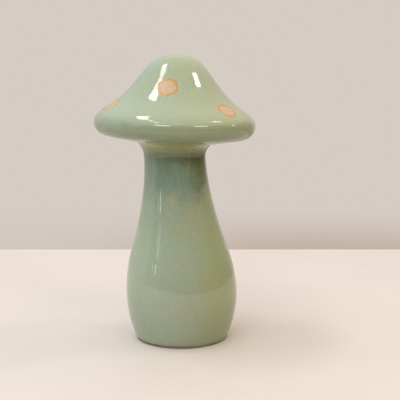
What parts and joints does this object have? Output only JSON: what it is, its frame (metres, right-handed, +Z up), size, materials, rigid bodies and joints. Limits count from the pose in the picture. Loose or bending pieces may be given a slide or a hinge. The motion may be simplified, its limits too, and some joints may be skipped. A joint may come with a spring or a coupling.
{
  "type": "ceramic mushroom ornament",
  "caption": "Free-standing hollow ceramic mushroom: a bellied stem that narrows to a flared neck and a domed, spotted cap, in glossy sage green glaze, for a shelf or table.",
  "frame": {"origin": "centre of the round foot, on the surface that the ornament stands on", "axes": "+Z up along the height, -Y towards whoever looks at the front with the high spot, +X to the right"},
  "size_m": [0.1241, 0.1242, 0.2206],
  "materials": {
    "clay_body": "bare buff biscuit-fired clay, fine grained and matt",
    "joining_slip": "fired joining slip of the same clay, wiped smooth",
    "green_glaze": "glossy sage green glaze with fine darker speckle and pinholes",
    "buff_glaze": "glossy buff peach glaze that breaks to orange brown at its edge"
  },
  "bodies": {
    "root": {"stem_shell": "clay_body", "stem_glaze": "green_glaze", "neck_slip_ring": "joining_slip", "cap_shell": "clay_body", "cap_glaze": "green_glaze", "front_crown_spot": "buff_glaze", "rear_right_crown_spot": "buff_glaze", "rear_left_crown_spot": "buff_glaze", "right_brim_spot": "buff_glaze", "rear_brim_spot": "buff_glaze", "left_brim_spot": "buff_glaze", "stray_dab": "buff_glaze"}
  },
  "joints": []
}
